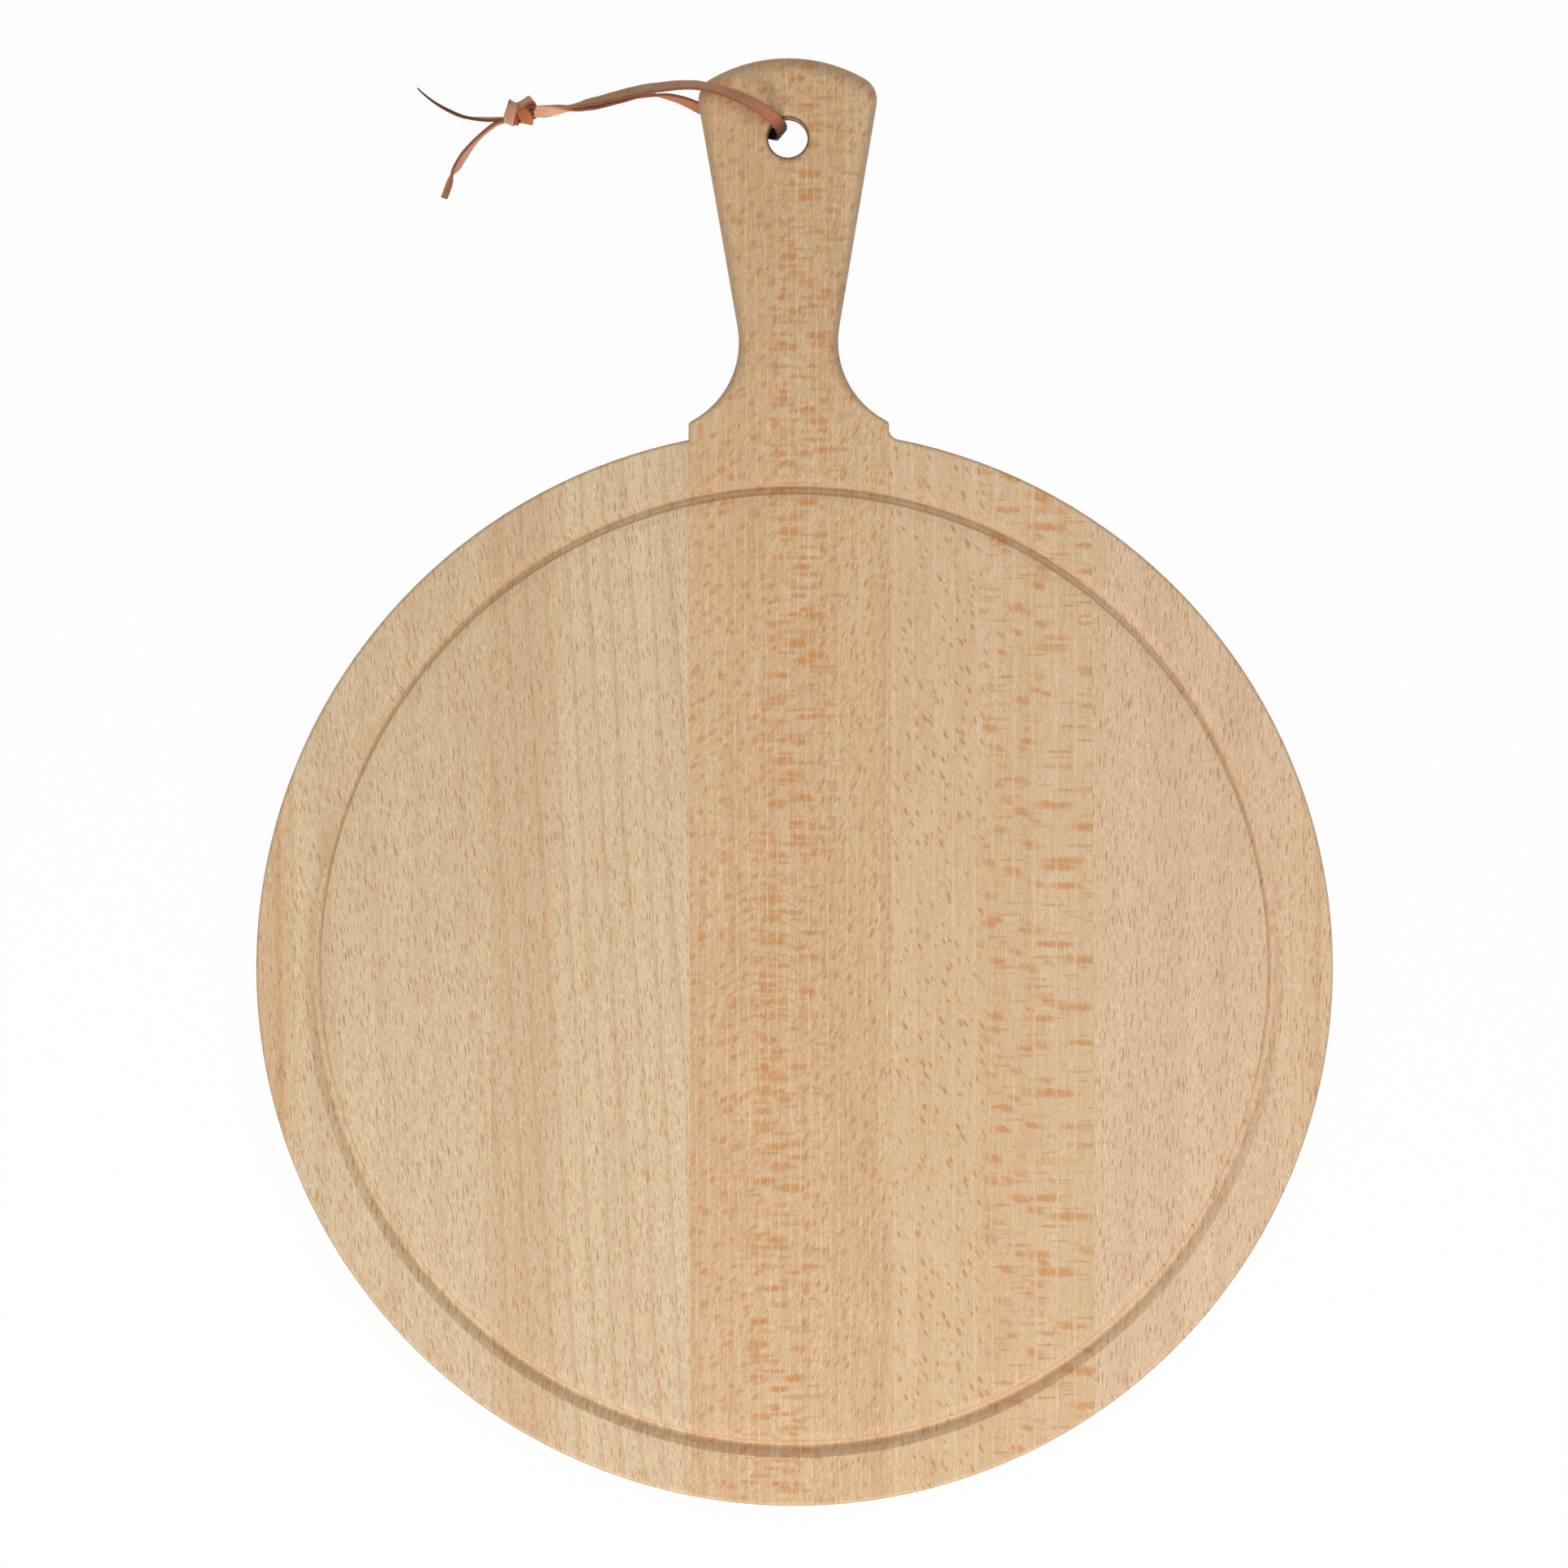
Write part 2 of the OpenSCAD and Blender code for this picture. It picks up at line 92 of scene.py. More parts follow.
laceFacts = {
    "width": 0.004,
    "thickness": 0.001,
    "edgeRound": 0.00022,
    "strandGap": 0.0005,
    "touching": (-71, 7),     # where the two strands lie together, and over how far, in millimetres
    "stacked": (-77, -72),    # up to the first x one strand lies under the other, from the second beside it
    "ringsPerPoint": 4,
    "wobble": 0.02,           # share of the width
    "routeUnit": 0.001,
}

pairRoute = [
    (-84, 271.3, 4.1, 98, -174),
    (-80.8, 271.6, 3.5, 98, -168),
    (-77.4, 271.8, 3.1, 98, -147),
    (-74, 272.3, 3.1, 98, -112),
    (-70.9, 272.7, 3.1, 99, -88),
    (-67.7, 273.1, 3.1, 100, -72),
    (-64.6, 273.8, 3.2, 101, -60),
    (-61.5, 274.4, 3.3, 102, -53),
    (-58.4, 275.2, 3.5, 102, -50),
]
overRoute = [
    (-55.2, 276.5, 5, 102, -50),
    (-52.1, 277.2, 6.9, 101, -50),
    (-48.9, 277.7, 9.2, 100, -50),
    (-45.8, 278.1, 11.6, 99, -50),
    (-42.6, 278.3, 13.9, 97, -50),
    (-39.5, 278.5, 15.9, 95, -50),
    (-36.4, 278.7, 17.6, 93, -50),
    (-33.2, 278.7, 19, 90, -50),
    (-30, 278.5, 20.1, 86, -50),
    (-26.4, 277.8, 20.9, 80, -49),
    (-22.2, 276.7, 21.6, 75, -44),
    (-18.1, 275.2, 22.1, 70, -37),
    (-14.2, 273.5, 22.4, 65, -29),
    (-10.8, 271.6, 22.4, 60, -19),
    (-7.7, 269.7, 21.7, 54, -8),
    (-5.3, 267.6, 19.6, 49, 4),
]
holeRoute = [
    (-3.7, 266, 16, 45, 8),
    (-3.2, 264.5, 11, 46, 4),
    (-3.5, 263.9, 6.2, 52, 0),
    (-5.2, 264.3, 2.5, 60, 0),
]
underRoute = [
    (-8.6, 265.1, 1.1, 66, 0),
    (-14, 266.9, 1, 69, 0),
    (-20, 269, 1, 68, 2),
    (-25.4, 271.2, 1.2, 69, 14),
    (-30.3, 273.2, 1.9, 72, 44),
    (-33.4, 274.6, 2.2, 80, 56),
    (-36.6, 275.7, 2.4, 88, 66),
    (-39.7, 276.4, 2.6, 93, 76),
    (-42.8, 276.8, 2.8, 96, 95),
    (-45.9, 277, 3, 98, 112),
    (-49, 276.9, 3.2, 100, 122),
    (-52.1, 276.2, 3.3, 101, 127),
    (-55.3, 275.4, 3.4, 102, 130),
]
upperTailRoute = [
    (-91.1, 269.2, 4.3, 98, 99),
    (-93.4, 269.2, 3.9, 98, 103),
    (-96.2, 269.2, 3.1, 94, 104),
    (-99.1, 269.4, 2.6, 88, 101),
    (-102.1, 269.7, 2.3, 80, 95),
    (-105.1, 270.4, 2.3, 70, 90),
    (-108.1, 271.7, 2.3, 63, 90),
    (-111, 273.2, 2.3, 58, 90),
    (-114, 275.1, 2.3, 54, 90),
    (-117, 277.5, 2.3, 48, 90),
    (-118.7, 279.2, 2.3, 46, 90),
]
lowerTailRoute = [
    (-91.1, 268.7, 2.8, 108, 86),
    (-93.2, 268.2, 2.6, 118, 84),
    (-95.3, 267.0, 2.3, 127, 84),
    (-98.7, 264.2, 2.3, 132, 84),
    (-101.4, 261.4, 2.2, 136, 77),
    (-104.1, 257.9, 2.2, 142, 66),
    (-106.2, 254.5, 2.2, 146, 66),
    (-107.7, 252.4, 2.3, 152, 86),
    (-108.5, 250, 2.2, 160, 108),
    (-109.2, 247.7, 2.2, 162, 114),
    (-110.5, 244.3, 2.2, 160, 114),
]

# how the leather changes along a strand: share of the run, the face's colour, how dark the cut edge is
loopLook = {
    "tints": [
        (0.0, (206, 150, 116), 0.2), (0.05, (206, 150, 116), 0.3), (0.1, (170, 122, 86), 0.8),
        (0.15, (172, 132, 96), 1.0), (0.3, (184, 136, 104), 0.9), (0.4, (190, 128, 98), 0.8),
        # from 0.46 to 0.62 the lace runs down through the hole; its near-black colour there is painted shadow
        (0.455, (184, 114, 82), 0.7), (0.485, (140, 84, 58), 0.8), (0.51, (58, 32, 22), 0.9),
        (0.59, (58, 32, 22), 0.9), (0.62, (178, 110, 82), 0.7), (0.8, (188, 116, 84), 0.7),
        (0.88, (182, 98, 62), 1.0), (0.92, (190, 116, 80), 0.7), (0.945, (222, 168, 132), 0.35),
        (1.0, (222, 168, 132), 0.35),
    ],
    "endShare": (0.8, 0.8),   # width at the knot
    "easeRun": 0.008,
}
upperTailLook = {
    "tints": [(0.0, (186, 160, 118), 1.2), (0.25, (176, 146, 106), 1.2), (0.5, (140, 90, 62), 1.2),
              (1.0, (120, 64, 42), 1.2)],
    "tipShare": 0.4,          # thickness at the skived tip
    "easeRun": 0.012,
}
lowerTailLook = {
    "tints": [
        (0.0, (176, 100, 66), 0.7), (0.2, (196, 120, 90), 0.8), (0.4, (208, 144, 118), 0.9),
        (0.66, (206, 146, 120), 0.9), (0.74, (188, 118, 74), 0.5), (1.0, (188, 118, 72), 0.45),
    ],
}


def place(stop):
    return Vector(stop[:3]) * laceFacts["routeUnit"]


def widthWay(stop):
    heading, tilt = math.radians(stop[3]), math.radians(stop[4])
    return Vector((math.cos(heading) * math.cos(tilt), math.sin(heading) * math.cos(tilt), math.sin(tilt)))


def between(a, b, c, d, t):
    # one number on the smooth curve from b to c
    return (b + (c - a) * t / 2 + (2 * a - 5 * b + 4 * c - d) * t * t / 2
            + (3 * b - a - 3 * c + d) * t ** 3 / 2)


def smoothRoute(route, steps, closed=False):
    last = len(route) - 1
    stops = []
    for i in range(len(route) if closed else last):
        if closed:
            near = [route[(i + k) % len(route)] for k in (-1, 0, 1, 2)]
        else:
            near = [route[max(i - 1, 0)], route[i], route[i + 1], route[min(i + 2, last)]]
        for j in range(steps):
            stops.append(tuple(between(*values, j / steps) for values in zip(*near)))
    return stops if closed else stops + [tuple(route[-1])]


def strand(stop, side):
    # a strand lies half a lace and half a gap to one side of the pair's middle
    way = (place(pairRoute[1]) - place(pairRoute[0])).normalized()
    aside = way.cross(widthWay(stop)).normalized()
    under, beside = laceFacts["stacked"]
    turned = min(1, max(0, (stop[0] - under) / (beside - under)))
    aside = (aside * turned - Vector((0, 0, 1 - turned))).normalized()
    middle, reach = laceFacts["touching"]
    gap = laceFacts["strandGap"] * min(1, abs(stop[0] - middle) / reach)
    shift = side * (laceFacts["thickness"] + gap) / 2
    where = (place(stop) + shift * aside) / laceFacts["routeUnit"]
    return (*where, stop[3], stop[4] + (180 if side < 0 else 0))


def laceRings(route, steps, closed=False):
    # each ring: its middle, the way across the lace and the way out of its face
    stops = smoothRoute(route, steps, closed)
    count = len(stops)
    rings = []
    for i, stop in enumerate(stops):
        ahead = stops[(i + 1) % count] if closed else stops[min(i + 1, count - 1)]
        behind = stops[(i - 1) % count] if closed else stops[max(i - 1, 0)]
        way = (place(ahead) - place(behind)).normalized()
        width = widthWay(stop)
        across = (width - width.dot(way) * way).normalized()
        rings.append((place(stop), across, way.cross(across)))
    return rings


def tintAt(tints, share):
    # the colour there, with the cut edge's darkness as its fourth number
    for (start, first, firstEdge), (end, second, secondEdge) in zip(tints, tints[1:]):
        if share <= end:
            t = (share - start) / (end - start)
            colour = [a + (b - a) * t for a, b in zip(rgb(*first), rgb(*second))]
            return (*colour[:3], firstEdge + (secondEdge - firstEdge) * t)
    return (*rgb(*tints[-1][1])[:3], tints[-1][2])


def makeLace(name, rings, facts, look, closed=False):
    # a straight strap is drawn out of its end, one ring at a time, and then laid along the rings
    deselectAll()
    bpy.ops.mesh.primitive_plane_add(size=1, location=(0, 0, 0))
    piece = bpy.context.object
    piece.name = name
    piece.data.name = name
    bpy.ops.object.mode_set(mode="EDIT")
    bpy.ops.mesh.select_all(action="SELECT")
    bpy.ops.transform.rotate(value=math.pi / 2, orient_axis="Y", center_override=(0, 0, 0))
    bpy.ops.transform.resize(value=(1, look.get("width", facts["width"]), facts["thickness"]),
                             center_override=(0, 0, 0))
    bpy.ops.mesh.bevel(offset=facts["edgeRound"], segments=3, affect="VERTICES")
    for step in range(len(rings) - 1):
        bpy.ops.mesh.extrude_region_move(TRANSFORM_OT_translate={"value": (1, 0, 0)})
    if closed:
        # the two ends are opened here, and joined once the strap lies in its loop
        bpy.ops.mesh.select_all(action="DESELECT")
        bpy.ops.object.mode_set(mode="OBJECT")
        for face in piece.data.polygons:
            face.select = len(face.vertices) > 4
        bpy.ops.object.mode_set(mode="EDIT")
        bpy.ops.mesh.select_mode(type="FACE")
        bpy.ops.mesh.delete(type="ONLY_FACE")
    bpy.ops.object.mode_set(mode="OBJECT")
    mesh = piece.data
    mesh.attributes.new("lacePlace", "FLOAT_VECTOR", "POINT")
    mesh.attributes.new("laceTint", "FLOAT_COLOR", "POINT")
    lacePlace, laceTint = mesh.attributes["lacePlace"], mesh.attributes["laceTint"]
    run = [0.0]
    for (a, _, _), (b, _, _) in zip(rings, rings[1:]):
        run.append(run[-1] + (b - a).length)
    startShare, endShare = look.get("endShare", (1, 1))
    easeRun = look.get("easeRun", 0.008)
    for vertex in mesh.vertices:
        i = int(round(vertex.co.x))
        middle, across, out = rings[i]
        toEnd = run[-1] - run[i]
        share = 1 + facts["wobble"] * math.sin(run[i] * 900 + 2.1 * math.sin(run[i] * 310))
        share -= (1 - startShare) * max(0, 1 - run[i] / easeRun) + (1 - endShare) * max(0, 1 - toEnd / easeRun)
        thin = 1 - (1 - look.get("tipShare", 1)) * max(0, 1 - toEnd / easeRun)
        side, rise = vertex.co.y, vertex.co.z
        lacePlace.data[vertex.index].vector = (run[i], side / look.get("width", facts["width"]), rise)
        laceTint.data[vertex.index].color = tintAt(look["tints"], run[i] / run[-1])
        vertex.co = middle + side * share * across + rise * thin * out
    makeActive(piece)
    bpy.ops.object.mode_set(mode="EDIT")
    if closed:
        bpy.ops.mesh.select_mode(type="EDGE")
        bpy.ops.mesh.select_all(action="DESELECT")
        bpy.ops.mesh.select_non_manifold()
        bpy.ops.mesh.bridge_edge_loops()
    bpy.ops.mesh.select_all(action="SELECT")
    bpy.ops.mesh.normals_make_consistent(inside=False)
    bpy.ops.object.mode_set(mode="OBJECT")
    bpy.ops.object.shade_smooth_by_angle(angle=math.radians(50))
    return piece


def runLength(rings):
    return sum((b[0] - a[0]).length for a, b in zip(rings, rings[1:]))


loopRoute = ([strand(stop, 1) for stop in pairRoute] + overRoute + holeRoute + underRoute
             + [strand(stop, -1) for stop in reversed(pairRoute)])
loopRings = laceRings(loopRoute, laceFacts["ringsPerPoint"])
upperTailRings = laceRings(upperTailRoute, laceFacts["ringsPerPoint"])
lowerTailRings = laceRings(lowerTailRoute, laceFacts["ringsPerPoint"])
laceLoop = makeLace("laceLoop", loopRings, laceFacts, loopLook)
upperTail = makeLace("upperTail", upperTailRings, laceFacts, upperTailLook)
lowerTail = makeLace("lowerTail", lowerTailRings, laceFacts, lowerTailLook)
print("lace laid: loop", round(runLength(loopRings), 4), "tails",
      round(runLength(upperTailRings), 4), round(runLength(lowerTailRings), 4))


# the overhand knot: two strands run through it, and three turns of the doubled lace hold them

knotFacts = {
    "ringsPerPoint": 5,
    # the lace is doubled, so each turn has a second layer inside it, in millimetres and degrees; its dark tint
    # is painted shade inside the turn
    "layerStep": 1.05,
    "layerShadeTint": (150, 72, 40),
    "turns": {
        "leftTurn": {
            "width": 0.0036,
            "layerTurn": -6,
            "layerShift": (1.1, -0.7),
            "tints": [(0.0, (200, 146, 112), 0.9), (1.0, (208, 154, 122), 0.9)],
            "route": [
                (-88.2, 274.2, 5.2, -20, -48),
                (-88.3, 273.4, 6.9, -16, -30),
                (-88.8, 271.8, 7.4, -16, -8),
                (-89.4, 269.8, 7.3, -20, 0),
                (-89.7, 268.5, 6.2, -24, 0),
                (-89.7, 268.0, 4.3, -24, 0),
                (-89.6, 268.3, 2.2, -20, 0),
                (-89.3, 269.7, 1.0, -16, 0),
                (-88.8, 272.0, 0.9, -14, 0),
                (-88.3, 273.9, 2.3, -18, -20),
            ],
        },
        "middleTurn": {
            "width": 0.004,
            "layerTurn": 0,
            "layerShift": (0, 0),
            "tints": [(0.0, (188, 110, 62), 0.9), (1.0, (180, 102, 58), 0.9)],
            "route": [
                (-87.1, 273.6, 4.6, 24, 0),
                (-86.5, 272.8, 6.2, 26, 0),
                (-85.5, 271.4, 6.8, 28, 0),
                (-84.5, 269.8, 6.7, 25, 0),
                (-84.0, 268.7, 5.5, 8, 0),
                (-84.2, 268.1, 3.6, -12, 0),
                (-84.5, 268.8, 1.8, -8, 0),
                (-85.3, 270.9, 0.9, 12, 0),
                (-86.4, 272.8, 1.2, 22, 0),
                (-87.1, 273.6, 2.7, 24, 0),
            ],
        },
        "rightTurn": {
            "width": 0.0038,
            "layerTurn": 0,
            "layerShift": (0.5, -0.6),
            "tints": [(0.0, (196, 150, 110), 1.0), (0.4, (202, 156, 116), 1.0), (0.5, (120, 62, 34), 1.0),
                      (1.0, (130, 66, 38), 1.0)],
            "route": [
                (-86.8, 272.4, 5.2, -50, 40),
                (-85.5, 273.5, 6.4, -50, 55),
                (-84.1, 274.5, 6.8, -50, 56),
                (-82.9, 275.0, 6.2, -52, 50),
                (-82.3, 274.7, 4.8, -54, 30),
                (-82.3, 273.8, 3.1, -55, 10),
                (-83.0, 272.4, 1.6, -55, 0),
                (-84.6, 271.4, 1.1, -55, 0),
                (-86.4, 271.2, 2.6, -55, 10),
            ],
        },
    },
    # the strands inside the knot, from the loop to the tails
    "core": {
        "upperStrand": [
            (-81.5, 272.0, 4.2, 98, -170),
            (-83.4, 271.6, 5.2, 98, -176),
            (-86.5, 270.8, 5.3, 98, -190),
            (-89.0, 269.7, 4.9, 98, -240),
            (-91.1, 269.2, 4.3, 98, -263),
        ],
        "lowerStrand": [
            (-81.5, 271.2, 2.8, 98, -170),
            (-84.0, 270.6, 3.4, 100, -176),
            (-86.5, 269.7, 3.4, 102, -200),
            (-89.0, 269.1, 3.1, 105, -240),
            (-91.1, 268.7, 2.8, 108, -274),
        ],
    },
    "coreLook": {"width": 0.0036, "tints": [(0.0, (168, 90, 56), 0.6), (0.4, (140, 74, 44), 0.6), (1.0, (120, 60, 36), 0.6)]},
}


def innerLayer(turn, facts):
    # the same turn, drawn in toward its own middle and turned a little
    middle = [sum(stop[axis] for stop in turn["route"]) / len(turn["route"]) for axis in range(3)]
    asideX, asideY = turn["layerShift"]
    inner = []
    for stop in turn["route"]:
        inward = Vector([m - s for m, s in zip(middle, stop)]).normalized() * facts["layerStep"]
        inner.append((stop[0] + inward.x + asideX, stop[1] + inward.y + asideY, stop[2] + inward.z,
                      stop[3] + turn["layerTurn"], stop[4]))
    return inner


def makeKnot(facts, lace):
    parts = []
    for name, turn in facts["turns"].items():
        rings = laceRings(turn["route"], facts["ringsPerPoint"], closed=True)
        parts.append(makeLace(name, rings, lace, turn, closed=True))
        rings = laceRings(innerLayer(turn, facts), facts["ringsPerPoint"], closed=True)
        # the inner layer's dark tint is painted shade
        innerTints = [(share, facts["layerShadeTint"], 0.5) for share in (0.0, 1.0)]
        innerLook = {"width": turn["width"], "tints": innerTints}
        parts.append(makeLace(name + "Inner", rings, lace, innerLook, closed=True))
    for name, route in facts["core"].items():
        parts.append(makeLace(name, laceRings(route, facts["ringsPerPoint"]), lace, facts["coreLook"]))
    deselectAll()
    for part in parts:
        part.select_set(True)
    bpy.context.view_layer.objects.active = parts[0]
    bpy.ops.object.join()
    parts[0].name = "laceKnot"
    return parts[0]


laceKnot = makeKnot(knotFacts, laceFacts)
print("knot tied")

for piece, node in ((laceLoop, "thong_loop"), (upperTail, "thong_tail_upper"),
                    (lowerTail, "thong_tail_lower"), (laceKnot, "thong_knot")):
    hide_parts(node)
    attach(piece, "thong")


def declareLace(rings):
    runLength(rings)


declareLace(loopRings)
declareLace(upperTailRings)
declareLace(lowerTailRings)


# shader maths

class Wire:
    # one output socket, so that shader maths reads as plain Python
    def __init__(self, bench, socket):
        self.bench, self.socket = bench, socket

    def maths(self, operation, *others):
        made = self.bench.node("ShaderNodeMath", {"operation": operation})
        for slot, value in enumerate((self, *others)):
            self.bench.feed(made.inputs[slot], value)
        return Wire(self.bench, made.outputs[0])

    def flipped(self, operation, other):
        made = self.bench.node("ShaderNodeMath", {"operation": operation})
        self.bench.feed(made.inputs[0], other)
        self.bench.feed(made.inputs[1], self)
        return Wire(self.bench, made.outputs[0])

    def __add__(self, other): return self.maths("ADD", other)
    def __radd__(self, other): return self.maths("ADD", other)
    def __sub__(self, other): return self.maths("SUBTRACT", other)
    def __rsub__(self, other): return self.flipped("SUBTRACT", other)
    def __mul__(self, other): return self.maths("MULTIPLY", other)
    def __rmul__(self, other): return self.maths("MULTIPLY", other)
    def __truediv__(self, other): return self.maths("DIVIDE", other)
    def __rtruediv__(self, other): return self.flipped("DIVIDE", other)
    def __pow__(self, other): return self.maths("POWER", other)
    def __abs__(self): return self.maths("ABSOLUTE")

    def rise(self, low, high):
        # 0 below low, 1 above high, smooth between; a high under low turns it round
        made = self.bench.node("ShaderNodeMapRange", {"interpolation_type": "SMOOTHSTEP"}, {
            "Value": self, "From Min": low, "From Max": high, "To Min": 0, "To Max": 1})
        return Wire(self.bench, made.outputs[0])

    def within(self, start, end, fade):
        # 1 from start to end, and 0 a fade outside them
        return self.rise(start - fade, start) * self.rise(end + fade, end)


class Bench:
    # one material and its nodes
    def __init__(self, name):
        self.material = bpy.data.materials.new(name)
        self.material.use_nodes = True
        self.tree = self.material.node_tree
        self.tree.nodes.clear()

    def feed(self, socket, value):
        if isinstance(value, Wire):
            self.tree.links.new(value.socket, socket)
        elif isinstance(value, bpy.types.NodeSocket):
            self.tree.links.new(value, socket)
        else:
            socket.default_value = value

    def node(self, kind, settings=None, values=None):
        made = self.tree.nodes.new(kind)
        for name, value in (settings or {}).items():
            setattr(made, name, value)
        for name, value in (values or {}).items():
            self.feed(made.inputs[name], value)
        return made

    def wire(self, kind, settings=None, values=None, output=0):
        return Wire(self, self.node(kind, settings, values).outputs[output])

    def vector(self, x, y, z=0.0):
        return self.wire("ShaderNodeCombineXYZ", None, {"X": x, "Y": y, "Z": z})

    def noise(self, vector, detail=2.0, rough=0.5, curl=0.0):
        return self.wire("ShaderNodeTexNoise", None, {
            "Vector": vector, "Scale": 1.0, "Detail": detail, "Roughness": rough, "Distortion": curl})

    def cells(self, vector, low, high, soft=0.35, corner=2.0):
        # separate marks, each with its own size from low to high and its own strength
        made = self.node("ShaderNodeTexVoronoi", {"voronoi_dimensions": "2D", "distance": "MINKOWSKI"}, {
            "Vector": vector, "Scale": 1.0, "Randomness": 1.0, "Exponent": corner})
        lot = self.node("ShaderNodeSeparateColor", None, {"Color": made.outputs["Color"]})
        # the first two numbers also set a mark's place, so only the third is free
        luck = Wire(self, lot.outputs[2])
        size = (luck * 7).maths("FRACT") * (high - low) + low
        mark = (Wire(self, made.outputs["Distance"]) / size).rise(1.0, soft)
        return mark * luck.rise(-0.3, 0.8)

    def tint(self, factor, first, second, blend="MIX"):
        made = self.node("ShaderNodeMix", {"data_type": "RGBA", "blend_type": blend})
        self.feed(made.inputs[0], factor)
        self.feed(made.inputs[6], first)
        self.feed(made.inputs[7], second)
        return Wire(self, made.outputs[2])

    def shade(self, colour, change, warmth=0.0):
        # lighter and darker by a share; with warmth, the darker parts turn more orange
        light = self.node("ShaderNodeCombineColor", None, {
            "Red": change * (1 - warmth) + 1, "Green": change + 1, "Blue": change * (1 + warmth) + 1})
        return self.tint(1.0, colour, light.outputs[0], "MULTIPLY")

    def finish(self, colour, roughness, height, reach, sheen=0.0):
        bump = self.wire("ShaderNodeBump", None, {"Height": height, "Strength": 1.0, "Distance": reach})
        shader = self.node("ShaderNodeBsdfPrincipled", None, {
            "Base Color": colour, "Roughness": roughness, "Normal": bump, "IOR": 1.45,
            "Specular IOR Level": 0.3, "Sheen Weight": sheen})
        out = self.node("ShaderNodeOutputMaterial")
        self.tree.links.new(shader.outputs[0], out.inputs["Surface"])
        return self.material


# beech: the whole board is one recipe, and each stave has its own numbers, in millimetres

